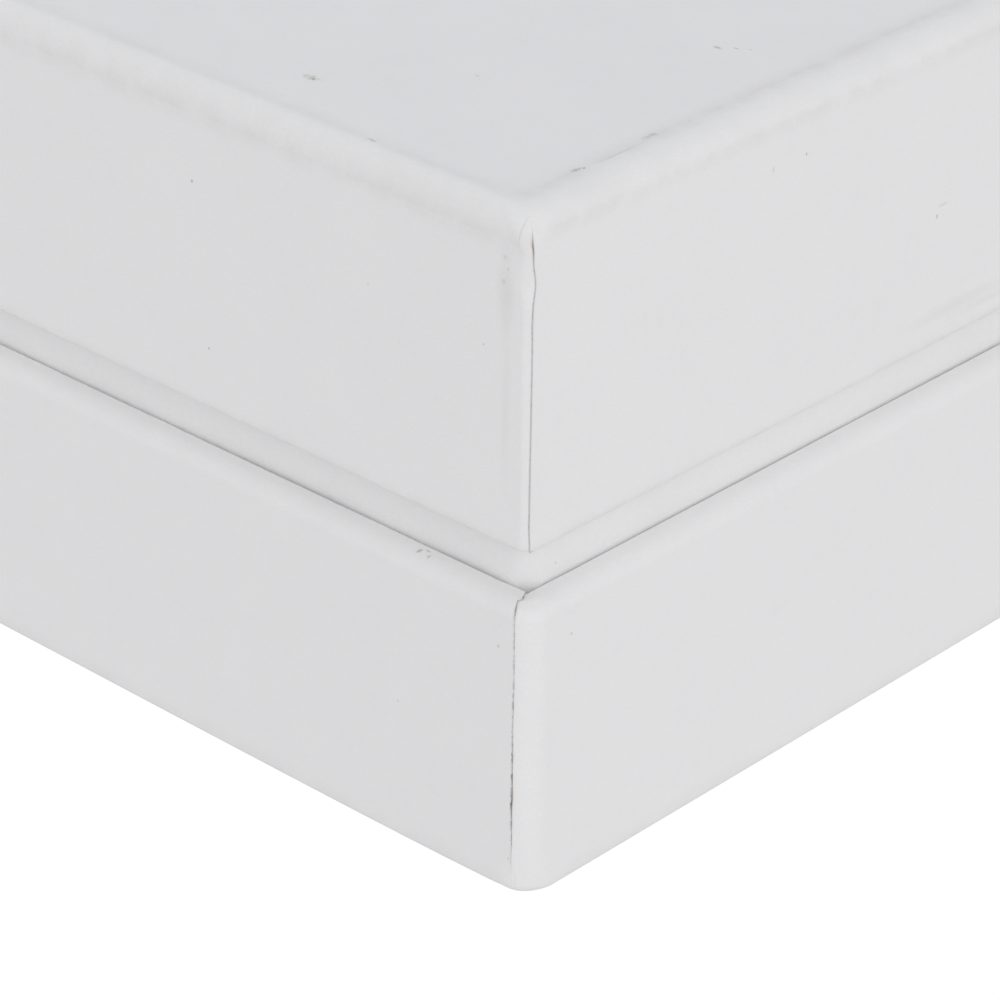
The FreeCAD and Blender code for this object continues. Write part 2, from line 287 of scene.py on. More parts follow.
# Each handling mark, and one painted crease shade on the lid: centre and radii along X, Y and Z in
# millimetres, then strength and colour.
LID_MARKS = [
    ((20.0, -43.2, 60.0), (0.9, 0.55, 1.0), 0.45, GRIME_AND_SHADE),
    ((20.3, -43.3, 60.0), (0.25, 0.2, 1.0), 0.40, DIRT_AND_SHADE),
    ((28.9, -33.9, 60.0), (0.25, 0.25, 1.0), 0.35, GRIME_AND_SHADE),
    ((31.6, -48.4, 60.0), (0.5, 0.2, 1.0), 0.25, DIRT_AND_SHADE),
    ((38.7, -16.4, 60.0), (0.45, 0.22, 1.0), 0.35, DIRT_AND_SHADE),
    ((39.8, -15.5, 60.0), (0.35, 0.15, 1.0), 0.30, DIRT_AND_SHADE),
    ((40.8, -14.9, 60.0), (0.25, 0.12, 1.0), 0.25, DIRT_AND_SHADE),
    ((46.4, -41.6, 60.0), (0.24, 0.55, 1.0), 0.30, DIRT_AND_SHADE),
    ((46.6, -41.0, 60.0), (0.10, 0.16, 1.0), 0.70, DIRT_AND_SHADE),
    ((46.7, -37.4, 60.0), (0.14, 2.6, 1.0), 0.16, DIRT_AND_SHADE),
    ((46.2, -33.0, 60.0), (0.35, 1.0, 1.0), 0.45, GRIME_AND_SHADE),
    ((50.0, -18.5, 54.9), (1.0, 0.12, 0.16), 0.40, DIRT_AND_SHADE),
    ((50.0, -22.5, 54.9), (1.0, 0.10, 0.35), 0.18, DIRT_AND_SHADE),
    ((50.0, -0.9, 43.7), (1.0, 0.20, 0.20), 0.35, DIRT_AND_SHADE),
    ((50.0, -0.1, 44.6), (1.0, 0.9, 0.18), 0.14, DIRT_AND_SHADE),
    ((50.0, 3.0, 34.6), (1.0, 9.0, 0.9), 0.10, GRIME_AND_SHADE),
    ((50.0, 7.0, 33.6), (1.0, 7.0, 0.5), 0.09, GRIME_AND_SHADE),
    ((47.3, -50.0, 53.2), (1.1, 1.0, 4.8), 0.14, GRIME_AND_SHADE),
    ((47.4, -50.0, 44.0), (0.60, 1.0, 9.0), 0.08, GRIME_AND_SHADE),
    # Painted shade: a thin dark line down the fold crease at the top of the near corner.
    ((48.5, -49.6, 58.1), (0.10, 1.0, 1.7), 0.13, DIRT_AND_SHADE),
    ((50.0, -49.7, 31.9), (0.4, 0.22, 0.20), 0.45, KRAFT),
    ((13.6, -50.0, 51.4), (0.14, 1.0, 0.14), 0.40, DIRT_AND_SHADE),
    ((15.1, -50.0, 37.2), (0.12, 1.0, 0.12), 0.50, DIRT_AND_SHADE),
    ((47.2, -50.0, 56.0), (0.22, 1.0, 0.22), 0.25, GRIME_AND_SHADE),
    ((47.5, -50.0, 55.1), (0.10, 1.0, 0.12), 0.40, DIRT_AND_SHADE),
    ((47.0, -50.0, 53.9), (0.30, 1.0, 0.30), 0.22, GRIME_AND_SHADE),
    ((45.1, -50.0, 48.1), (0.12, 1.0, 0.12), 0.35, DIRT_AND_SHADE),
    ((33.0, -50.0, 49.0), (0.10, 1.0, 0.10), 0.25, DIRT_AND_SHADE),
]
BASE_MARKS = [
    ((37.1, -48.7, 26.7), (0.22, 0.35, 0.6), 0.45, DIRT_AND_SHADE),
    ((37.7, -48.3, 26.7), (0.30, 0.12, 0.6), 0.35, DIRT_AND_SHADE),
    ((38.3, -48.9, 26.7), (0.14, 0.30, 0.6), 0.30, DIRT_AND_SHADE),
    ((46.8, -50.0, 22.5), (0.16, 1.0, 0.20), 0.30, KRAFT),
    ((48.2, -50.0, 3.6), (0.10, 1.0, 0.15), 0.40, DIRT_AND_SHADE),
    ((36.0, -50.0, 13.0), (0.12, 1.0, 0.12), 0.25, DIRT_AND_SHADE),
    ((50.0, -45.1, 22.9), (1.0, 0.14, 0.12), 0.30, DIRT_AND_SHADE),
]
NECK_MARKS = [((47.5, -44.3, 27.9), (1.0, 0.14, 0.14), 0.30, DIRT_AND_SHADE)]


def wrap_paper(name, marks=(), line=0.0, speck=0.0):
    """Smooth white uncoated paper glued over board: faint fibres, mottling, handling marks, and painted shade
    at its edges and seams. line is how dark the seams' cut edges are all along, as painted shade and soil,
    and speck how much darker where soil has lodged."""
    make = Maker(name)
    fibres = make.noise(0.20, 4.0, 0.65)
    cloud = make.noise(7.0, 4.0, 0.6)
    tint = make.noise(1.1, 3.0, 0.6)
    patch = make.noise(2.6, 4.0, 0.6)
    fleck = make.noise(0.35, 2.0, 0.6)
    white = make.mix(make.spread(cloud, 0.3, 0.7), (0.930, 0.930, 0.932), (0.957, 0.957, 0.955))
    white = make.mix(make.spread(tint, 0.35, 0.65, 0.0, 0.6), white, (0.962, 0.954, 0.927))
    white = make.mix(make.spread(fibres, 0.3, 0.7, 0.0, 0.8), white, (0.903, 0.907, 0.916))
    # Painted shade and soil: the grime mask darkens the bottom edges, the lid's bottom edge and the crevice
    # by the neck.
    grime_and_shade_share = make.math("MULTIPLY", make.mask("grime"), make.spread(patch, 0.30, 0.66, 0.25, 1.0))
    colour = make.mix(grime_and_shade_share, white, GRIME_AND_SHADE)
    traced = make.math("MULTIPLY", make.mask("trace"), make.spread(patch, 0.32, 0.62, 0.35, 1.0))
    traced = make.math("MULTIPLY", traced, make.spread(fleck, 0.25, 0.65, 0.75, 1.0))
    colour = make.mix(traced, colour, SOIL)
    # Painted shade and soil: the seam mask darkens the cut edges and the crack beside them all along, more in
    # specks.
    specks = make.spread(make.noise(0.36, 2.0, 0.6), 0.52, 0.60, line, line + speck)
    colour = make.mix(make.math("MULTIPLY", make.mask("seam"), specks), colour, DIRT_AND_SHADE)
    colour = make.mix(make.mask("kraft"), colour, KRAFT)
    for centre, radii, strength, stain in marks:
        offset = make.vector("DIVIDE", make.vector("SUBTRACT", make.place, centre), radii)
        ragged = min(0.5, 0.5 / max(radii))
        far = make.math("ADD", make.vector("LENGTH", offset), make.spread(fleck, 0.2, 0.8, -ragged, ragged))
        colour = make.mix(make.spread(far, 0.5 * ragged, 1.15, strength, 0.0), colour, stain)
    undulation = make.bump(make.noise(11.0, 1.0), 0.035)
    grain = make.bump(fibres, 0.0035, undulation)
    rough = make.spread(fibres, 0.2, 0.8, 0.58, 0.72)
    return make.finish(colour, rough, grain, Specular_IOR_Level=0.18)


def plain_board(name, tone, fleck, depth=0.03):
    """Grey chipboard or card: pressed pulp with dark and light flecks."""
    make = Maker(name)
    pulp = make.noise(0.5, 5.0, 0.7)
    flecks = make.noise(0.28, 2.0, 0.6, (1, 1, 2.5))
    colour = make.mix(make.spread(pulp, 0.3, 0.7), tone, darker(tone, 0.86))
    colour = make.mix(make.spread(flecks, 0.66, 0.74, 0.0, 0.7), colour, fleck)
    return make.finish(colour, make.spread(pulp, 0.2, 0.8, 0.75, 0.92), make.bump(pulp, depth),
                       Specular_IOR_Level=0.2)


def paper_tape(name, tone):
    """Stay tape: thin ribbed kraft or white paper strip."""
    make = Maker(name)
    ribs = make.node("ShaderNodeTexWave", wave_type="BANDS", bands_direction="Z")
    make.feed(ribs.inputs["Vector"], make.place)
    ribs.inputs["Scale"].default_value = 0.9
    ribs.inputs["Distortion"].default_value = 0.6
    fibre = make.noise(0.35, 3.0, 0.6)
    colour = make.mix(make.spread(fibre, 0.3, 0.7), tone, darker(tone, 0.88))
    ribbed = make.math("MULTIPLY", ribs.outputs["Fac"], 0.6)
    height = make.math("ADD", ribbed, make.math("MULTIPLY", fibre, 0.4))
    return make.finish(colour, 0.62, make.bump(height, 0.02), Specular_IOR_Level=0.3)


def gummed_tape(name):
    """Gummed white fixing tape with small trapped bubbles."""
    make = Maker(name)
    bubbles = make.noise(2.4, 2.0, 0.5)
    fine = make.noise(0.3, 3.0, 0.6)
    colour = make.mix(make.spread(bubbles, 0.45, 0.6), (0.80, 0.785, 0.74), (0.74, 0.72, 0.665))
    return make.finish(colour, make.spread(fine, 0.2, 0.8, 0.38, 0.52), make.bump(bubbles, 0.06),
                       Specular_IOR_Level=0.4)


# ---------------------------------------------------------------- soft materials

def velvet(name):
    """Short dense pile of pale dove grey: nap patches, fine fibre tips, a bright sheen, and painted shade in
    the slits.
    """
    make = Maker(name)
    pile = make.noise(0.16, 3.0, 0.7)
    nap = make.noise(9.0, 2.0, 0.5, (1.0, 0.5, 1.0))
    base = make.mix(make.spread(nap, 0.35, 0.65), (0.60, 0.585, 0.56), (0.65, 0.635, 0.61))
    colour = make.mix(make.spread(pile, 0.35, 0.7), make.mix(0.35, base, (0.30, 0.29, 0.275)), base)
    # Painted shade: the velvet darkens down in the slits and notches, where the fold mask is.
    colour = make.mix(make.mask("fold"), colour, (0.34, 0.325, 0.305))
    brushed = make.bump(nap, 0.06)
    material = make.finish(colour, 0.9, make.bump(pile, 0.12, brushed), Specular_IOR_Level=0.1)
    make.shader.inputs["Sheen Weight"].default_value = 0.7
    make.shader.inputs["Sheen Roughness"].default_value = 0.4
    make.shader.inputs["Sheen Tint"].default_value = (0.95, 0.93, 0.91, 1)
    return material


def satin(name, tone, thread=0.12, along="X"):
    """Smooth satin: fine floats of thread one way, soft lustre."""
    make = Maker(name)
    floats = make.node("ShaderNodeTexWave", wave_type="BANDS", bands_direction=along)
    make.feed(floats.inputs["Vector"], make.place)
    floats.inputs["Scale"].default_value = 1 / (thread * 20)
    floats.inputs["Distortion"].default_value = 0.35
    floats.inputs["Detail"].default_value = 1.0
    slub = make.noise(1.2, 3.0, 0.6, (1.0, 0.08, 1.0) if along == "X" else (0.08, 1.0, 1.0))
    dim = darker(tone, 0.94)
    colour = make.mix(make.spread(slub, 0.3, 0.7), dim, tone)
    colour = make.mix(make.math("MULTIPLY", floats.outputs["Fac"], 0.25), colour, dim)
    material = make.finish(colour, make.spread(slub, 0.3, 0.7, 0.30, 0.42),
                           make.bump(floats.outputs["Fac"], 0.012), Specular_IOR_Level=0.5)
    make.shader.inputs["Anisotropic"].default_value = 0.6
    make.shader.inputs["Sheen Weight"].default_value = 0.25
    make.shader.inputs["Sheen Roughness"].default_value = 0.3
    return material


def foam(name, tone):
    """Open-cell foam: small dark pores."""
    make = Maker(name)
    cells = make.node("ShaderNodeTexVoronoi", feature="F1")
    make.feed(cells.inputs["Vector"], make.place)
    cells.inputs["Scale"].default_value = 2.2
    pores = make.spread(cells.outputs["Distance"], 0.12, 0.42)
    colour = make.mix(pores, darker(tone, 0.6), tone)
    return make.finish(colour, 0.95, make.bump(pores, 0.25), Specular_IOR_Level=0.1)


# ---------------------------------------------------------------- mesh helpers

def add_mesh(name, points, faces, masks=None, sharp=35.0):
    """A mesh object from points in millimetres. masks are numbers from 0 to 1 at each point."""
    mesh = bpy.data.meshes.new(name)
    mesh.from_pydata([tuple(p) for p in np.asarray(points) * MM], [], faces)
    mesh.validate()
    for key, values in (masks or {}).items():
        attribute = mesh.attributes.new(key, "FLOAT", "POINT")
        attribute.data.foreach_set("value", np.asarray(values, np.float32))
    mesh.polygons.foreach_set("use_smooth", [True] * len(mesh.polygons))
    mesh.set_sharp_from_angle(angle=math.radians(sharp))
    made = bpy.data.objects.new(name, mesh)
    bpy.context.scene.collection.objects.link(made)
    return made


def loft_faces(rows, columns, closed=False):
    """Quads between rows of points, each row a closed loop. closed joins the last row to the first, and
    otherwise both are capped."""
    faces = []
    last = rows if closed else rows - 1
    for r in range(last):
        low, high = r * columns, ((r + 1) % rows) * columns
        for c in range(columns):
            d = (c + 1) % columns
            faces.append((low + c, low + d, high + d, high + c))
    if not closed:
        faces.append(tuple(reversed(range(columns))))
        faces.append(tuple(range((rows - 1) * columns, rows * columns)))
    return faces


def smooth(low, high, value):
    t = np.clip((value - low) / (high - low), 0, 1)
    return t * t * (3 - 2 * t)


def hill(centre, width, value):
    return np.exp(-((value - centre) / width) ** 2)


def wander(value, seed, size):
    """Smooth noise from about -1 to 1 along a line."""
    return noise.noise((value / size, seed * 7.31, 0.5))


# ---------------------------------------------------------------- the folded paper corner

# A corner's columns run from the covering panel, over its cut edge and the crack beneath it, on to the tab.
# The steps on the panel and past the tab's bend are millimetres, and the others are shares.
COVER_STEPS = [16, 11, 7.5, 5.2, 3.7, 2.7, 1.95, 1.4, 1.0, 0.68, 0.42, 0.24, 0.12, 0.05, 0.0]
EDGE_STEPS = [0.5, 1.0]
CRACK_STEPS = [0.5, 1.0]
TAB_NEAR = [0.0, 0.025, 0.05, 0.085, 0.13, 0.20, 0.30]
TAB_TURNS = [0.12, 0.25, 0.38, 0.52, 0.66, 0.80, 0.92, 1.0]
TAB_STEPS = [0.25, 0.6, 1.1, 1.8, 2.8, 4.2, 6.0, 8.5, 12, 16]
GAP_COLUMNS = len(EDGE_STEPS) + len(CRACK_STEPS)
WALL_COLUMNS = 12
SIGNS = [(1, -1), (1, 1), (-1, 1), (-1, -1)]
SHEET = 0.10


def folded_corner(edge, turned, crack, gap):
    """The seamed corner in plan. Gives each column's distances in from the tab's and the panel's wall, its
    unit inward normal, and how far it sinks below the surface, in sheets of paper. Where the panel's cut edge
    meets the tab, edge millimetres in, the tab has turned by turned radians from the panel's plane."""
    points, normals, sinks = [], [], []
    for step in COVER_STEPS:
        points.append((edge + step, 0.0))
        normals.append((0.0, 1.0))
        sinks.append(0.0)
    for share in EDGE_STEPS:
        points.append((edge, 0.0))
        normals.append((0.0, 1.0))
        sinks.append(share)
    for share in CRACK_STEPS:
        points.append((edge + crack * share, 0.0))
        normals.append((0.0, 1.0))
        sinks.append(1.0 + gap * share)
    radius = edge / (1 - math.sin(turned))
    length = radius * (math.pi / 2 - turned)
    places = [min(place, 0.3 * length) for place in TAB_NEAR]
    places += [places[-1] + (length - places[-1]) * share for share in TAB_TURNS]
    for place in places:
        angle = turned + place / radius
        points.append((radius * (1 - math.sin(angle)), radius * (math.cos(turned) - math.cos(angle))))
        normals.append((math.sin(angle), math.cos(angle)))
        sinks.append(1.0 - smooth(0.15, 1.0, place / length) + gap * math.exp(-(place / 0.05) ** 2))
    bend = points[-1][1]
    for step in TAB_STEPS:
        points.append((0.0, bend + step))
        normals.append((1.0, 0.0))
        sinks.append(0.0)
    return np.array(points), np.array(normals), np.array(sinks)


def plain_corner(edge, radius):
    """The same columns on an unbroken rounded corner, at places along it from its middle."""
    close = 0.01
    reach = radius * math.pi / 4
    seam = np.clip(-edge * math.pi / 4, -reach, reach * 0.6)
    places = [seam - step for step in COVER_STEPS]
    places += [seam + close * (1 + i) for i in range(GAP_COLUMNS)]
    first = places[-1] + close
    near = [0.3 * (reach - first) * place / TAB_NEAR[-1] for place in TAB_NEAR]
    places += [first + step for step in near]
    places += [first + near[-1] + (reach - first - near[-1]) * turn for turn in TAB_TURNS]
    places += [reach + step for step in TAB_STEPS]
    points, normals = [], []
    for place in places:
        angle = np.clip((place / reach + 1) * math.pi / 4, 0, math.pi / 2)
        beyond_panel, beyond_tab = max(0.0, -place - reach), max(0.0, place - reach)
        points.append((radius * (1 - math.sin(angle)) + beyond_panel,
                       radius * (1 - math.cos(angle)) + beyond_tab))
        normals.append((math.sin(angle), math.cos(angle)))
    return np.array(points), np.array(normals)


def outline(row, panels):
    """One level of a wrap as a closed loop of points, with each column's masks. The panels are on the walls
    that panels names, X or Y, and the tabs on the others. row is from profile_row, with its seam added."""
    loop, masks = [], []
    for corner, (sx, sy) in enumerate(SIGNS):
        edge, turned, crack, gap, open_share, lift, torn, seam_darkening = row["seam"](corner)
        folded, normals, sinks = folded_corner(edge, turned, crack, gap)
        plain, plain_normals = plain_corner(edge, row["radius"])
        shape = plain + (folded - plain) * open_share
        inward = plain_normals + (normals - plain_normals) * open_share
        inward = inward / np.linalg.norm(inward, axis=1)[:, None]
        steps, tabs, between = np.array(COVER_STEPS), np.array(TAB_NEAR), np.ones(GAP_COLUMNS)
        rest = np.zeros(len(TAB_TURNS) + len(TAB_STEPS))
        raised = np.concatenate([hill(0, 1.6, steps), between, 0 * tabs, rest]) * lift * open_share
        sink = sinks * open_share * SHEET - raised + row["back"]
        shape = shape + inward * (sink * row["flat"])[:, None]
        drop = sink * row["rise"]
        on_panel = inward[:, 1] ** 2
        if panels == "Y":
            x, y = sx * (HALF - row["dx"] - shape[:, 0]), sy * (HALF - row["dy"] - shape[:, 1])
            share_y = on_panel
        else:
            x, y = sx * (HALF - row["dx"] - shape[:, 1]), sy * (HALF - row["dy"] - shape[:, 0])
            share_y = 1 - on_panel
        z = row["zx"] + (row["zy"] - row["zx"]) * share_y - drop
        points = np.stack([x, y, z], axis=1)
        seam_near = np.concatenate([hill(0, 0.035, steps), between, hill(0, 0.035, tabs), rest])
        bare = np.concatenate([0 * steps, [0.0], between[1:], hill(0, 0.12, tabs), rest])
        own = np.stack([seam_near * open_share * seam_darkening, bare * open_share * torn, share_y], axis=1)
        if (corner % 2 == 0) != (panels == "Y"):
            points, own = points[::-1], own[::-1]
        loop.append(points)
        masks.append(own)
    full, full_masks = [], []
    for corner in range(4):
        full.append(loop[corner])
        full_masks.append(masks[corner])
        here, there = loop[corner][-1], loop[(corner + 1) % 4][0]
        steps = np.linspace(0, 1, WALL_COLUMNS + 2)[1:-1, None]
        full.append(here + (there - here) * steps)
        full_masks.append(np.tile([0.0, 0.0, float(corner % 2)], (WALL_COLUMNS, 1)))
    return np.concatenate(full), np.concatenate(full_masks)


def profile_row(d, z, slope, radius=TAB_RADIUS, back=0.0, grime=0.0, trace=(0.0, 0.0), dy=None, zy=None):
    """One level of a wrap. slope is the surface's angle: 0 faces out, 90 up, 180 in and -90 down. grime is a
    soft darkening all round, soil and painted shade, and trace is a line of soil along the X and the Y walls."""
    angle = math.radians(slope)
    return {"dx": d, "dy": d if dy is None else dy, "zx": z, "zy": z if zy is None else zy,
            "flat": math.cos(angle), "rise": math.sin(angle), "radius": radius, "back": back, "grime": grime,
            "trace": trace}


def arc_rows(d, z, size, start, stop, count, radii=(TAB_RADIUS, TAB_RADIUS), grime=(0.0, 0.0)):
    """Rows round an edge whose radius is size and whose centre is at inset d and height z. radii are the
    corner's radii at the first and the last row, and grime is the darkening there, soil and painted shade."""
    rows = []
    for i in range(count):
        share = i / (count - 1)
        slope = start + (stop - start) * share
        angle = math.radians(slope)
        rows.append(profile_row(d - size * math.cos(angle), z + size * math.sin(angle), slope,
                                radii[0] + (radii[1] - radii[0]) * share,
                                grime=grime[0] + (grime[1] - grime[0]) * share))
    return rows


def wrap_mesh(name, rows, seam, panels, bow=None):
    """The wrap paper as one closed shell, from its rows. bow(loop, row) moves a row's points, to bend it."""
    points, masks, tone_masks = [], [], []
    for row in rows:
        row["seam"] = lambda corner, row=row: seam(corner, row)
        loop, own = outline(row, panels)
        if bow is not None:
            loop = bow(loop, row)
        points.append(loop)
        masks.append(own)
        on_x, on_y = row["trace"]
        tone_masks.append(np.stack([np.full(len(loop), row["grime"]), on_x + (on_y - on_x) * own[:, 2]], axis=1))
    columns = len(points[0])
    points, masks, tone_masks = np.concatenate(points), np.concatenate(masks), np.concatenate(tone_masks)
    named = {"grime": tone_masks[:, 0], "trace": tone_masks[:, 1], "seam": masks[:, 0], "kraft": masks[:, 1]}
    return add_mesh(name, points, loft_faces(len(rows), columns), named)


def simple_loop(half_x, half_y, z, radius, steps=10):
    """A plain rounded square, for the boards and the neck's paper."""
    loop = []
    for corner, (sx, sy) in enumerate(SIGNS):
        for i in range(steps + 1):
            angle = math.radians(-90 + 90 * corner + 90 * i / steps)
            centre = (sx * (half_x - radius), sy * (half_y - radius))
            loop.append((centre[0] + radius * math.cos(angle), centre[1] + radius * math.sin(angle), z))
    return loop


def simple_shell(name, rows, closed=False, sharp=35.0):
    """rows are (half_x, half_y, z, corner radius)."""
    loops = [simple_loop(*row) for row in rows]
    points = [p for loop in loops for p in loop]
    return add_mesh(name, points, loft_faces(len(rows), len(loops[0]), closed), sharp=sharp)


def square_rows(rows):
    """Rows for simple_shell, from each one's half side, height and corner radius."""
    return [(half, half, z, radius) for half, z, radius in rows]


# ---------------------------------------------------------------- base and lid wraps

# Radii of the wraps' rounded edges, and how far the lid's top edges reach in and down on the X and Y walls.
FOOT, LIP, INNER_LIP = 0.62, 1.5, 0.13
LID_LIP, LID_INNER_LIP = 0.55, 0.3
TOP_IN_X, TOP_DROP_X = 2.9, 2.0
TOP_IN_Y, TOP_DROP_Y = 1.4, 2.7
LID_TAB_RADIUS = 1.8
BASE_SEAM_REACH, LID_SEAM_REACH = 3, 3.5
TURN_START = 1.0
FOOT_SPRING, SPRING_REACH = 0.36, 10


def backs(rows, depth):
    """The unseen back of these rows of paper, in the other direction."""
    return [dict(row, back=depth, hidden=True) for row in reversed(rows)]


def turned_in(start, stop):
    return [profile_row(RIM, float(z), 180, 0.8) for z in np.linspace(start, stop, 12)]


def base_seam(corner, row):
    """The panels on +Y and -Y cover the tabs of the others, a little short of each corner.
    Gives the cut edge's distance in, the tab's turn there in radians, the crack's width, its depth in sheets,
    how far the seam is open, how far the edge lifts, and the shares of torn paper and of seam soil and
    painted shade."""
    if row.get("hidden") or row["dx"] > BASE_SEAM_REACH:
        return 0.6, 0.5, 0.05, 0.0, 0.0, 0.0, 0.0, 0.0
    z, d = row["zx"], row["dx"]
    stray = 0.06 * wander(z, corner + 1, 5.0) + 0.03 * wander(z, corner + 9, 1.3)
    on_wall = 1.52 + 0.05 * hill(8.3, 0.6, z) - 0.45 * (1 - smooth(0.6, 3.6, z))
    on_wall = on_wall + 0.15 * wander(corner * 3.1, 5, 1.0)
    across = np.interp(d, [0.0, 0.3, 0.9, 1.3, RIM], [0.0, -0.10, -0.40, -0.95, -1.40])
    edge = max(0.12, on_wall + stray + across * smooth(20, 26, z))
    inside = smooth(BASE_TOP - 2.0, BASE_TOP - 0.3, z) if row["flat"] < -0.5 else 1.0
    open_share = (0.25 + 0.75 * smooth(1.2, 4.5, z)) * smooth(0.3, 0.7, z) * inside
    lift = 0.02 + 0.03 * wander(z, corner + 20, 4.0) + 0.05 * hill(25.7, 0.8, z)
    gap = 0.8 + 0.9 * wander(z, corner + 30, 1.1) + 1.2 * hill(9.6, 1.6, z)
    torn = 0.8 * hill(9.0, 0.8, z) + 0.5 * hill(26.2, 0.25, z)
    # How dark the seam line is up the corner: soil and painted shade.
    seam_darkening = np.interp(z, [0.0, 6.6, 7.4, 11.0, 15.0, 18.5, 25.0, 26.7],
                     [0.3, 0.35, 1.0, 1.0, 0.7, 0.45, 0.3, 1.0])
    turned = 0.30 + 0.15 * smooth(0, 1.5, d)
    return edge, turned, 0.035, max(0.2, gap), open_share, max(0.0, lift), torn, seam_darkening


def lid_seam(corner, row):
    """The panels on +X and -X run flat almost to the corner, and the tabs of the others curve in behind their
    edges. Gives what base_seam gives."""
    if row.get("hidden") or row["dx"] > LID_SEAM_REACH:
        return 0.2, 0.7, 0.05, 0.0, 0.0, 0.0, 0.0, 0.0
    z = row["zx"]
    top = HEIGHT - z
    stray = 0.04 * wander(z, corner + 41, 4.0) + 0.02 * wander(z, corner + 47, 1.0)
    hole = hill(2.6, 0.75, top)
    edge = 0.24 + stray - 0.08 * hill(1.8, 0.8, top) + 0.28 * hill(5.6, 1.3, top)
    edge = edge + 0.08 * (1 - smooth(32, 34, z))
    turned = math.asin(1 - edge / LID_TAB_RADIUS)
    inside = 1 - smooth(LID_BOTTOM + 0.4, LID_BOTTOM + 2.0, z) if row["flat"] < -0.5 else 1.0
    open_share = smooth(0.5, 3.0, top) * inside
    gap = 0.8 + 0.4 * wander(z, corner + 50, 1.5) + 3.0 * hole
    crack = 0.025 + 0.16 * hole
    lift = 0.02 + 0.03 * hole
    return edge, turned, crack, gap, open_share, lift, hole, smooth(1.2, 1.9, top)


def loose_turn_in(loop, row):
    """The turned-in paper stands off the neck more in some places than in others."""
    if row["flat"] > -0.2:
        return loop
    share = -row["flat"]
    loop = loop.copy()
    for point in loop:
        along, across = (0, 1) if abs(point[1]) > abs(point[0]) else (1, 0)
        place = point[along]
        if along == 0 and point[1] < 0:
            room = 0.27 * hill(0, 10, place) + 0.20 * hill(33.5, 3.6, place) - 0.16
        else:
            room = 0.12 * hill(-20, 18, place) - 0.08
        room = room * smooth(NECK_HALF - 1.6, NECK_HALF - 4.0, abs(place))
        point[across] += math.copysign(room * share, point[across])
    return loop


def sprung_foot(loop, row):
    """The bottom edge springs up a little beside the near corner, and the turned-in paper stands off."""
    loop = loose_turn_in(loop, row)
    near = FOOT_SPRING * (1 - smooth(1.5, 5.0, row["zx"]))
    if near > 0 and row["flat"] > -0.2:
        facing = smooth(HALF - 2.5, HALF - 0.6, -loop[:, 1])
        along = np.exp(-np.maximum(HALF - 3.0 - loop[:, 0], 0) / SPRING_REACH)
        along = along * (1 - smooth(HALF - 3.2, HALF - 1.2, loop[:, 0]))
        loop[:, 2] += near * facing * along
    return loop


def add_base_wrap():
    bottom = [profile_row(d, 0.0, -90, r) for d, r in ((14, 2.0), (6, 2.4), (2.5, 2.9), (1.3, 3.2))]
    # Painted shade, with some soil: grime darkens the bottom edge and the wall just above it, where they face
    # the floor.
    foot = arc_rows(FOOT, FOOT, FOOT, -90, 0, 8, (3.4, 3.4), grime=(0.12, 0.08))
    wall = []
    for z in np.linspace(FOOT + 0.35, BASE_TOP - LIP - 0.3, 60):
        radius = TAB_RADIUS + 1.2 * (1 - smooth(0.8, 7.0, z))
        wall.append(profile_row(0.0, float(z), 0, radius, grime=0.08 * hill(FOOT, 0.8, z)))
    lip = arc_rows(LIP, BASE_TOP - LIP, LIP, 0, 90, 12, (TAB_RADIUS, 1.5), (0.02, 0.02))
    rim = [profile_row(d, BASE_TOP, 90, r) for d, r in ((1.6, 1.4), (1.75, 1.25), (1.9, 1.1))]
    # Painted shade: grime on the inner lip darkens the crevice between the rim and the neck.
    inner = arc_rows(RIM - INNER_LIP, BASE_TOP - INNER_LIP, INNER_LIP, 90, 180, 6, (1.0, 0.8), (0.0, 0.04))
    turned = turned_in(BASE_TOP - TURN_START, BASE_TOP - TURN_IN)
    outside = bottom + foot[::2] + wall[::6] + lip[::2] + rim[:2]
    rows = bottom + foot + wall + lip + rim + inner + turned
    rows += backs(turned, PAPER) + backs(outside, 2 * PAPER)
    return wrap_mesh("base_wrap_paper", rows, base_seam, "Y", sprung_foot)


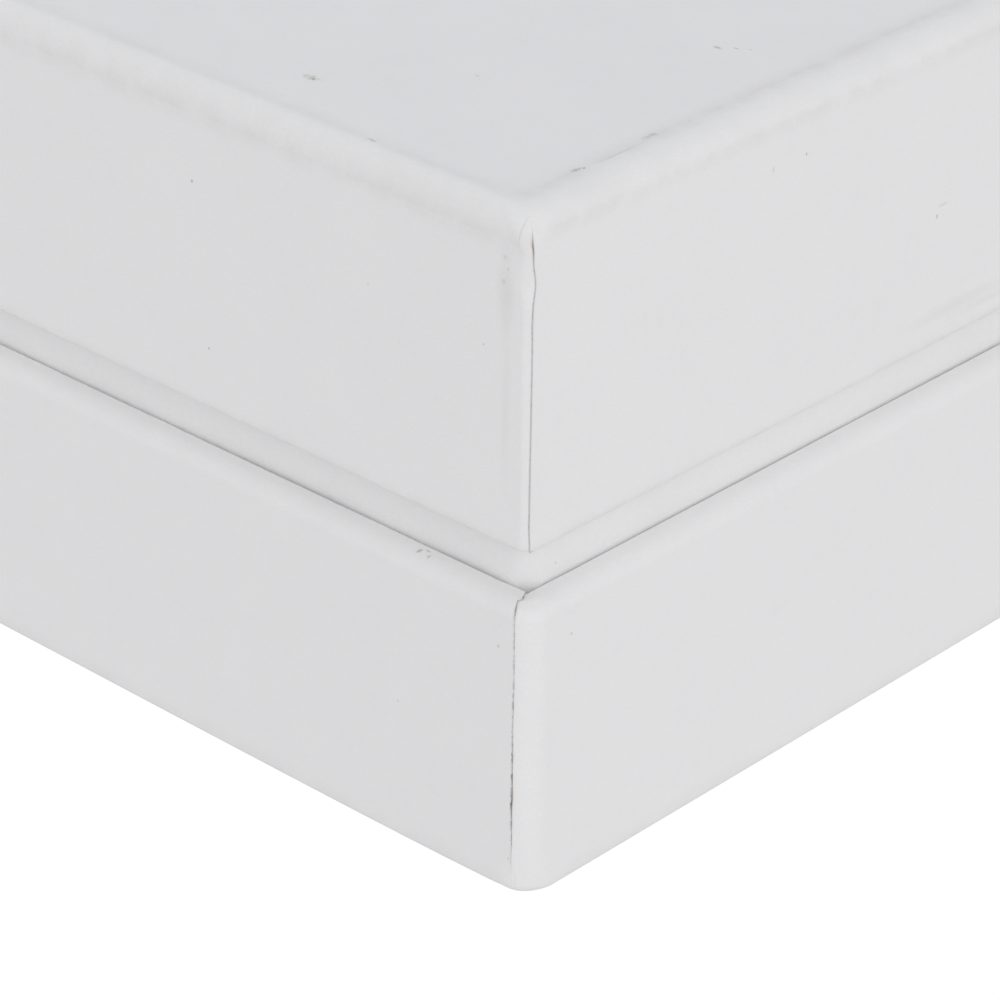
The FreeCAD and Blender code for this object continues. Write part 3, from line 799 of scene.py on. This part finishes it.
def add_lid_wrap():
    # Painted shade: grime darkens the lid's downward-facing bottom rim and lip.
    rim = [profile_row(d, LID_BOTTOM, 270, r, grime=0.06) for d, r in ((1.8, 1.1), (1.4, 1.4), (1.0, 1.7))]
    inner = arc_rows(RIM - LID_INNER_LIP, LID_BOTTOM + LID_INNER_LIP, LID_INNER_LIP, 180, 270, 6, (0.8, 1.0))
    lip = arc_rows(LID_LIP, LID_BOTTOM + LID_LIP, LID_LIP, -90, 0, 8, (1.8, 2.0), (0.12, 0.10))
    turned = turned_in(LID_BOTTOM + TURN_IN, LID_BOTTOM + TURN_START)
    wall = []
    for z in np.linspace(LID_BOTTOM + LID_LIP + 0.3, HEIGHT - TOP_DROP_Y - 0.1, 62):
        under = hill(HEIGHT - 2.9, 0.7, z)
        # Painted shade: grime darkens the lid's wall just above its bottom edge.
        wall.append(profile_row(0.0, float(z), 0, grime=0.10 * hill(LID_BOTTOM, 0.8, z),
                                trace=(0.0, 0.07 * under)))
    top = []
    for share in np.linspace(0, 1, 18):
        angle = math.radians(90 * share)
        inset, rise = 1 - math.cos(angle), math.sin(angle)
        tone_masks = (0.06 * (hill(0.12, 0.12, share) + hill(1.0, 0.12, share)), 0.07 * hill(0.0, 0.2, share))
        top.append(profile_row(TOP_IN_X * inset, HEIGHT - TOP_DROP_X * (1 - rise), 90 * share,
                               TAB_RADIUS - 0.5 * share, grime=0.05, trace=tone_masks,
                               dy=TOP_IN_Y * inset, zy=HEIGHT - TOP_DROP_Y * (1 - rise)))
    for step, on_x, on_y in ((0.12, 0.10, 0.04), (0.35, 0.13, 0.07), (0.65, 0.10, 0.06), (1.1, 0.05, 0.03),
                             (2.0, 0.0, 0.0), (5.0, 0.0, 0.0), (11.0, 0.0, 0.0)):
        top.append(profile_row(TOP_IN_X + step, HEIGHT, 90, 1.6, trace=(on_x, on_y), dy=TOP_IN_Y + step))
    outside = rim[1:] + lip[::2] + wall[::6] + top[::3] + top[-1:]
    rows = backs(outside, 2 * PAPER) + backs(turned, PAPER) + turned + inner + rim + lip + wall + top
    return wrap_mesh("lid_wrap_paper", rows, lid_seam, "X")


def add_neck_wrap():
    """Paper round the neck: up the outside, over the top edge and part-way down the inside."""
    low, high, half = NECK_LOW.z, NECK_HIGH.z, NECK_HALF
    inner = half - 1.8
    fold, corner, inner_corner = 0.3, 2.0, 0.35
    rows = [(half, float(z), corner) for z in np.linspace(low, high - fold, 24)]
    for angle in np.radians([22, 45, 67, 90]):
        rise = high - fold + fold * math.sin(angle)
        rows.append((half - fold + fold * math.cos(angle), rise, corner - 0.2))
    for angle in np.radians([90, 113, 135, 158, 180]):
        rise = high - fold + fold * math.sin(angle)
        rows.append((inner + fold + fold * math.cos(angle), rise, inner_corner + 0.1))
    rows += [(inner, float(z), inner_corner) for z in np.linspace(high - 1, high - 30, 10)]
    back_in, back_out = inner + PAPER, half - PAPER
    rows += [(back_in, float(z), inner_corner) for z in np.linspace(high - 30, high - 0.3, 4)]
    rows += [(back_in + 0.15, high - PAPER, inner_corner), (back_out - 0.15, high - PAPER, corner - 0.2)]
    rows += [(back_out, float(z), corner - PAPER) for z in np.linspace(high - 0.3, low, 4)]
    return simple_shell("neck_wrap_paper", square_rows(rows), closed=True)


# ---------------------------------------------------------------- boards and stays inside the wraps

BOARD_GAP = 0.42
BOARD_OUTER, BOARD_INNER = HALF - BOARD_GAP, HALF - BOARD - PAPER - 0.02


def add_base_board():
    inner, outer = BOARD_INNER, BOARD_OUTER
    low, high = BOARD_GAP, BASE_TOP - BOARD_GAP
    rows = [(outer - 1.0, low, 2.7), (outer - 0.3, low + 0.3, 3.1), (outer, low + 1.0, 3.3),
            (outer, 7.0, 2.2), (outer, BASE_TOP - 1.9, 2.1), (outer - 0.4, BASE_TOP - 1.0, 1.9),
            (outer - 1.2, high, 1.4), (inner + 0.15, high, 0.7), (inner, high - 0.1, 0.6),
            (inner, BOARD + PAPER, 0.6)]
    return simple_shell("base_grey_board", square_rows(rows))


def add_lid_board():
    inner, outer = BOARD_INNER, BOARD_OUTER
    low, high = LID_BOTTOM + BOARD_GAP, HEIGHT - BOARD_GAP
    rows = square_rows([(inner, HEIGHT - BOARD - PAPER, 0.6), (inner, low + 0.1, 0.6),
                        (inner + 0.15, low, 0.7), (outer - 0.5, low, 1.9),
                        (outer, LID_BOTTOM + 1.0, 2.1), (outer, HEIGHT - TOP_DROP_Y - 0.4, 2.1)])
    for share in (0.3, 0.5, 0.7, 0.85, 1.0):
        angle = math.radians(90 * share)
        inset, rise = 1 - math.cos(angle), math.sin(angle)
        drop = 0.5 * (TOP_DROP_X + TOP_DROP_Y) * (1 - rise)
        rows.append((outer - TOP_IN_X * inset, outer - TOP_IN_Y * inset, high - drop, 2.0))
    return simple_shell("lid_grey_board", rows)


def add_stay(name, node):
    """A strip of stay tape folded round the outside of the corner of the board where its CAD node is."""
    low, high = extent(node)
    leg, radius, outer, thick, steps = 12.0, 2.1, HALF - 2 * PAPER - 0.01, 0.09, 8
    sx, sy = (1 if middle > 0 else -1 for middle in (low.x + high.x, low.y + high.y))
    skins = []
    for depth in (0.0, thick):
        face, bend = outer - depth, radius - depth / 2
        path = [(face - leg, face)]
        for i in range(steps + 1):
            angle = math.radians(90 - 90 * i / steps)
            path.append((face - bend + bend * math.cos(angle), face - bend + bend * math.sin(angle)))
        path.append((face, face - leg))
        skins.append(path)
    ring = skins[0] + skins[1][::-1]
    if sx * sy < 0:
        ring = ring[::-1]
    # The strip stays clear of the paper where it rounds the wrap's edges.
    if high.z < BASE_TOP + 1:
        bottom, top = max(low.z, 6.5), min(high.z, BASE_TOP - 2.2)
    else:
        bottom, top = max(low.z, LID_BOTTOM + 1.2), min(high.z, HEIGHT - 3.4)
    points = [(sx * x, sy * y, z) for z in (bottom, 0.5 * (bottom + top), top) for x, y in ring]
    faces = [face[::-1] for face in loft_faces(3, len(ring))]
    return add_mesh(name, points, faces, sharp=50)


# ---------------------------------------------------------------- soft blocks: pad and cushion

def line_places(core, roll, side, under, dense):
    """Grid lines across a soft block's cover laid out flat, from the middle of its face to under its edge."""
    places = list(np.linspace(0, core, max(3, int(core / 1.6)) + 1)) + [p for p in dense if p < core - 0.1]
    places += list(core + roll * np.linspace(0, math.pi / 2, 7)[1:])
    edge = core + roll * math.pi / 2
    places += list(edge + np.linspace(0, side, max(2, int(side / 1.6)) + 1)[1:])
    if under:
        places += list(edge + side + np.linspace(0, under, 5)[1:])
    places = np.array(sorted(places))
    keep = [places[0]]
    for place in places[1:]:
        if place - keep[-1] > 0.11:
            keep.append(place)
    keep = np.array(keep)
    return np.concatenate([-keep[:0:-1], keep])


def soft_block(half, face, foot, roll, corner, under, shape, dense_x=(), dense_y=()):
    """A grid that covers a block from the height of its face to that of its foot, and under millimetres of
    its back. roll and corner are its edges' radii. shape(x, y, on_face, down) gives how far a point rises
    and moves in, and how much of a fold it is in."""
    core, side = half - roll, abs(face - foot) - roll
    sign = 1 if face > foot else -1
    columns, rows = (line_places(core, roll, side, under, dense) for dense in (dense_x, dense_y))
    points, folds = [], []
    edge = core + roll * math.pi / 2
    for y in rows:
        for x in columns:
            ring = max(abs(x), abs(y))
            if ring <= core:
                reach, z = ring, face
            elif ring <= edge:
                turn = (ring - core) / roll
                reach, z = core + roll * math.sin(turn), face - sign * roll * (1 - math.cos(turn))
            elif ring <= edge + side:
                reach, z = half, face - sign * (roll + ring - edge)
            else:
                reach, z = half - (ring - edge - side), foot
            px, py = (x * reach / ring, y * reach / ring) if ring > 0 else (0.0, 0.0)
            bend = corner * smooth(core - 5, core, ring)
            u, v = abs(px) - (reach - bend), abs(py) - (reach - bend)
            if bend > 0.01 and u > 0 and v > 0:
                u, v = u / bend, v / bend
                px = math.copysign(reach - bend + bend * u * math.sqrt(1 - v * v / 2), px)
                py = math.copysign(reach - bend + bend * v * math.sqrt(1 - u * u / 2), py)
            rise, inward, fold = shape(px, py, ring <= edge, abs(z - face))
            py -= math.copysign(inward, py)
            points.append((px, py, z + rise))
            folds.append(fold)
    nx, ny = len(columns), len(rows)
    faces = []
    for r in range(ny - 1):
        for c in range(nx - 1):
            at = r * nx + c
            quad = (at, at + 1, at + nx + 1, at + nx)
            faces.append(quad if sign > 0 else quad[::-1])
    rim = list(range(nx)) + [r * nx + nx - 1 for r in range(1, ny)]
    rim += [ny * nx - 1 - c for c in range(1, nx)] + [r * nx for r in range(ny - 2, 0, -1)]
    return points, faces, folds, (rim[::-1] if sign > 0 else rim)


# The pad's slits: half their length and width, but a notch's whole length; their depth and their soft lips.
RING_SLIT, RING_DEPTH, RING_SOFT = (15.0, 1.0), 8.5, 0.35
EAR_SLIT, EAR_PLACE, EAR_DEPTH, EAR_SOFT = (4.5, 0.55), (20.0, 20.0), 6.5, 0.25
NOTCH_PLACE, NOTCH_LENGTH, NOTCH_HALF, NOTCH_DEPTH, NOTCH_SOFT = 28.0, 8.0, 0.75, 4.6, 0.3
PAD_ROLL, FOAM_ROLL = 2.6, 2.4
CLOTH_STEPS, CLOTH_SLIDE = 20, 0.4


def slit(x, y, long, wide, soft):
    """1 inside a straight slit, falling to 0 across its soft lips."""
    return (1 - smooth(long - soft, long + soft, abs(x))) * (1 - smooth(wide - soft, wide + soft, abs(y)))


def pad_shape(widen, depth_share, crown):
    """How the jewelry pad's face rises and falls: crowned, with a ring slit, ear slits and four notches."""
    half = PAD_HIGH.x

    def shape(x, y, on_face, down):
        ear_x, ear_y = abs(x) - EAR_PLACE[0], y - EAR_PLACE[1]
        notch_x, notch_y = abs(x) - NOTCH_PLACE, half - abs(y)
        ring = slit(x, y, RING_SLIT[0] + widen, RING_SLIT[1] + widen, RING_SOFT)
        ears = slit(ear_x, ear_y, EAR_SLIT[0] + widen, EAR_SLIT[1] + widen, EAR_SOFT)
        notch = slit(notch_x, notch_y, NOTCH_HALF + widen, NOTCH_LENGTH + widen, NOTCH_SOFT)
        if not on_face:
            cut = notch * (1 - smooth(3.6, 5.6, down))
            return 0.0, 1.6 * cut, cut
        lips = slit(x, y, 17.0, 3.2, 2.0) + 0.6 * slit(ear_x, ear_y, 5.6, 1.9, 1.2)
        lips += 0.6 * slit(notch_x, notch_y, 2.2, 9.5, 1.3)
        dome = crown * (1 - (x / half) ** 2) * (1 - (y / half) ** 2)
        puff = 0.10 * noise.noise((x / 14, y / 14, 3.0))
        rise = dome + puff - 0.45 * min(lips, 1.0)
        rise -= depth_share * (RING_DEPTH * ring + EAR_DEPTH * ears + NOTCH_DEPTH * notch)
        return rise, 0.0, min(1.0, ring + ears + notch)
    return shape


def slit_lines(centre, half, soft):
    """Extra grid lines across both edges of a slit."""
    return [abs(centre + side * (half + step * soft)) for side in (-1, 1) for step in (-1, -0.5, 0, 0.5, 1)]


def apply_modifiers(piece):
    """Replaces a piece's mesh by its evaluated mesh."""
    graph = bpy.context.evaluated_depsgraph_get()
    made = bpy.data.meshes.new_from_object(piece.evaluated_get(graph), preserve_all_data_layers=True,
                                           depsgraph=graph)
    piece.modifiers.clear()
    piece.data = made


def settle(cover, held, pressure, growth, bending, sideways, upward):
    """Lets a cover settle as cloth under its filling's pressure. held gives each point's pinning from 0 to 1.
    Along the normals only outward movement is kept, and none is over sideways millimetres in X or Y, or
    upward in Z."""
    start = np.array([point.co for point in cover.data.vertices]) / MM
    normals = np.array([point.normal for point in cover.data.vertices])
    group = cover.vertex_groups.new(name="held")
    for i, weight in enumerate(held):
        if weight > 0:
            group.add([i], float(weight), "REPLACE")
    cloth = cover.modifiers.new("cloth", "CLOTH")
    settings = cloth.settings
    settings.quality = 6
    settings.mass = 0.15
    settings.tension_stiffness = 8
    settings.compression_stiffness = 8
    settings.shear_stiffness = 2
    settings.bending_stiffness = bending
    settings.shrink_min = -growth
    settings.use_pressure = True
    settings.uniform_pressure_force = pressure
    settings.effector_weights.gravity = 0
    settings.vertex_group_mass = "held"
    for step in range(1, CLOTH_STEPS + 1):
        bpy.context.scene.frame_set(step)
    apply_modifiers(cover)
    bpy.context.scene.frame_set(1)
    shift = np.array([point.co for point in cover.data.vertices]) / MM - start
    outward = (shift * normals).sum(axis=1)[:, None]
    slide = np.clip(shift - outward * normals, -CLOTH_SLIDE, CLOTH_SLIDE)
    shift = slide + np.maximum(outward, 0) * normals
    shift = np.clip(shift, (-sideways, -sideways, -upward), (sideways, sideways, upward))
    cover.data.vertices.foreach_set("co", ((start + shift) * MM).astype(np.float32).ravel())
    cover.data.update()


def thicken(cover, thickness, finer):
    """Gives a cover its cloth's thickness, inwards."""
    solid = cover.modifiers.new("cloth", "SOLIDIFY")
    solid.thickness = thickness * MM
    solid.offset = -1
    if finer:
        smoothed = cover.modifiers.new("smoothed", "SUBSURF")
        smoothed.levels = smoothed.render_levels = 1
    apply_modifiers(cover)


def add_velvet_pad():
    """The jewelry pad: slit foam, and over it velvet that is held in its slits and along its lower sides."""
    dense_x = slit_lines(0, RING_SLIT[0], RING_SOFT) + slit_lines(EAR_PLACE[0], EAR_SLIT[0], EAR_SOFT)
    dense_x += slit_lines(NOTCH_PLACE, NOTCH_HALF, NOTCH_SOFT)
    dense_x += [NOTCH_PLACE + step for step in (-2.2, -1.6, 1.6, 2.2)]
    dense_y = slit_lines(0, RING_SLIT[1], RING_SOFT) + slit_lines(EAR_PLACE[1], EAR_SLIT[1], EAR_SOFT)
    dense_y += slit_lines(PAD_HIGH.x - NOTCH_LENGTH, 0.0, NOTCH_SOFT)
    dense_y += [0.3, 2.0, 2.8, 3.6] + [EAR_PLACE[1] + step for step in (-2.4, -1.6, 1.6, 2.4)]
    points, faces, folds, rim = soft_block(PAD_HIGH.x, PAD_HIGH.z - 0.2, PAD_LOW.z, PAD_ROLL, PAD_ROLL, 12.0,
                                           pad_shape(0.0, 1.0, 0.5), dense_x, dense_y)
    cover = add_mesh("velvet_pad_cover", points, faces, {"fold": folds}, sharp=180)
    low_side = [1.0 if PAD_HIGH.z - z > 5 else 0.3 * (PAD_HIGH.z - z > 2) for x, y, z in points]
    settle(cover, np.maximum(low_side, np.array(folds) > 0.02), pressure=1.2, growth=0.01, bending=0.5,
           sideways=0.15, upward=0.3)
    thicken(cover, 0.35, finer=False)
    points, faces, folds, rim = soft_block(FOAM_HIGH.x - 0.1, FOAM_HIGH.z - 0.3, FOAM_LOW.z, FOAM_ROLL,
                                           FOAM_ROLL, 0.0, pad_shape(0.55, 1.05, 0.45), dense_x, dense_y)
    filling = add_mesh("pad_foam_core", points, faces + [tuple(rim)], sharp=180)
    return cover, filling


def add_satin_cushion():
    """The lid's padded satin panel: cloth under the foam's pressure, held along its turned-over edge."""
    half, face, back = CUSHION_HIGH.x, CUSHION_LOW.z, CUSHION_HIGH.z

    def flat(x, y, on_face, down):
        return 0.0, 0.0, 0.0

    points, faces, folds, rim = soft_block(half - 0.2, face + 0.7, back, 1.6, 2.0, 9.0, flat)
    cushion = add_mesh("satin_cushion_cover", points, faces, {"fold": folds}, sharp=180)
    held = []
    for i, (x, y, z) in enumerate(points):
        # Half-way down the side, about a quarter of the points are half held, which gathers the satin.
        gathered = 0.5 * ((i * 7919) % 11 < 3)
        held.append(1.0 if z - face > 3.2 else gathered * (z - face > 1.6))
    settle(cushion, held, pressure=3.0, growth=0.035, bending=0.02, sideways=0.5, upward=1.1)
    thicken(cushion, 0.3, finer=True)
    points, faces, folds, rim = soft_block(LID_FOAM_HIGH.x - 0.6, LID_FOAM_LOW.z + 0.8, LID_FOAM_HIGH.z,
                                           1.4, 2.0, 0.0, flat)
    filling = add_mesh("cushion_foam_core", points, faces + [tuple(rim)], sharp=180)
    return cushion, filling


# ---------------------------------------------------------------- ribbon

def rounded_path(corners, radii, step):
    """Straight runs joined by tangent arcs, as points about step millimetres apart."""
    path = [Vector(corners[0])]
    for before, at, after, radius in zip(corners, corners[1:], corners[2:], radii):
        at = Vector(at)
        into, out = (Vector(before) - at).normalized(), (Vector(after) - at).normalized()
        half_turn = into.angle(out) / 2
        reach = radius / math.tan(half_turn)
        centre = at + (into + out).normalized() * radius / math.sin(half_turn)
        first, last = at + into * reach - centre, at + out * reach - centre
        count = max(2, int(radius * first.angle(last) / step) + 1)
        for i in range(count + 1):
            path.append(centre + first.normalized().slerp(last.normalized(), i / count) * radius)
    path.append(Vector(corners[-1]))
    filled = [path[0]]
    for point in path[1:]:
        run = point - filled[-1]
        parts = max(1, round(run.length / step))
        start = filled[-1].copy()
        filled += [start + run * (i + 1) / parts for i in range(parts)]
    return filled


RIBBON_WIDTH, RIBBON_THICKNESS, SELVEDGE = 10.0, 0.28, 0.10
RIBBON_UNDER_END, RIBBON_OVER_END = 24.9, 22.9


def add_ribbon():
    """A flat satin ribbon: under the pad, up its back edge, and folded forward over the velvet.
    Gives its piece, and its length in metres."""
    side = 0.5 * (RIBBON_HIGH.y + PAD_HIGH.y)
    low, high = RIBBON_LOW.z + 0.25, RIBBON_HIGH.z + 0.1
    corners = [(0, RIBBON_UNDER_END, low), (0, side, low), (0, side, high + 0.3), (0, 40.0, high),
               (0, 33.0, high + 0.6), (0, 26.5, high + 0.15), (0, RIBBON_OVER_END, high + 0.7)]
    path = rounded_path(corners, [0.7, 1.4, 9.0, 9.0, 6.0], 0.6)
    length = sum((b - a).length for a, b in zip(path, path[1:])) * MM
    across = Vector((1, 0, 0))
    columns, points = 17, []
    for i, place in enumerate(path):
        before, after = path[max(0, i - 1)], path[min(len(path) - 1, i + 1)]
        normal = across.cross((after - before).normalized())
        free = smooth(38.0, 27.0, place.y) if place.z > 25 else 0.0
        drift = free * 0.6 * (37 - place.y) / 15
        for face in (1, -1):
            for c in range(columns):
                share = face * (2 * c / (columns - 1) - 1)
                cup = free * (0.35 * share ** 2 + 0.15 * math.sin(2.5 * share + place.y / 4))
                lift = cup + face * (0.5 * RIBBON_THICKNESS + SELVEDGE * (abs(share) > 0.93))
                points.append(place + across * (share * RIBBON_WIDTH / 2 + drift) + normal * lift)
    return add_mesh("satin_ribbon", points, loft_faces(len(path), 2 * columns), sharp=60), length


# ---------------------------------------------------------------- put together

def dress(piece, material, body, slot, *nodes):
    """Gives a piece its material, the body it rides on and the CAD nodes it stands for."""
    piece.data.materials.clear()
    piece.data.materials.append(material)
    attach(piece, body)
    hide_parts(*nodes)


def dress_node(material, *nodes):
    for name in nodes:
        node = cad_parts[name]
        node.data.materials.clear()
        node.data.materials.append(material)


bpy.context.scene.view_settings.view_transform = "Standard"
add_camera()
add_light()
add_floor()

grey_board = plain_board("grey_board", (0.36, 0.345, 0.32), (0.16, 0.15, 0.14))
kraft_tape = paper_tape("kraft_stay_tape", STAY_KRAFT)

lid_wrap, lid_board = add_lid_wrap(), add_lid_board()
for piece in (lid_wrap, lid_board):
    piece.data.transform(LID_SHIFT)
dress(add_base_wrap(), wrap_paper("base_paper", BASE_MARKS, 0.30, 0.60), "base", "outer_paper", "base_wrap")
dress(lid_wrap, wrap_paper("lid_paper", LID_MARKS, 0.30, 0.08), "lid", "outer_paper", "lid_wrap")
dress(add_neck_wrap(), wrap_paper("neck_paper", NECK_MARKS), "base", "neck_paper", "neck_wrap")
dress(add_base_board(), grey_board, "base", "greyboard", "base_board")
dress(lid_board, grey_board, "lid", "greyboard", "lid_board")
for number in range(1, 5):
    for part in ("base", "lid"):
        node = f"{part}_corner_stay_{number}"
        strip = add_stay(f"{part}_stay_strip_{number}", node)
        if part == "lid":
            strip.data.transform(LID_SHIFT)
        dress(strip, kraft_tape, part, "stay_tape", node)

cover, core = add_velvet_pad()
dress(cover, velvet("dove_velvet"), "pad", "velvet", "velvet_cover")
dress(core, foam("pad_foam", (0.62, 0.60, 0.52)), "pad", "pad_foam", "foam_pad")
cushion, cushion_core = add_satin_cushion()
dress(cushion, satin("ivory_satin", (0.80, 0.775, 0.735)), "lid", "satin", "lid_pad_cover")
dress(cushion_core, foam("cushion_foam", (0.70, 0.69, 0.66)), "lid", "pad_foam", "lid_pad_foam")
ribbon, ribbon_length = add_ribbon()
dress(ribbon, satin("ribbon_satin", (0.62, 0.60, 0.575), along="Y"), "pad", "satin", "ribbon_pull")

dress_node(grey_board, "neck_board", "insert_riser", "pad_board")
dress_node(plain_board("white_card", (0.74, 0.735, 0.715), (0.60, 0.59, 0.56), 0.01), "lid_pad_card")
dress_node(wrap_paper("liner_paper"), "base_liner", "lid_liner")
dress_node(paper_tape("neck_joint_paper", STAY_KRAFT), "neck_joint_tape")
dress_node(gummed_tape("gummed_fixing_tape"), *[f"neck_fixing_tape_{number}" for number in range(1, 5)])
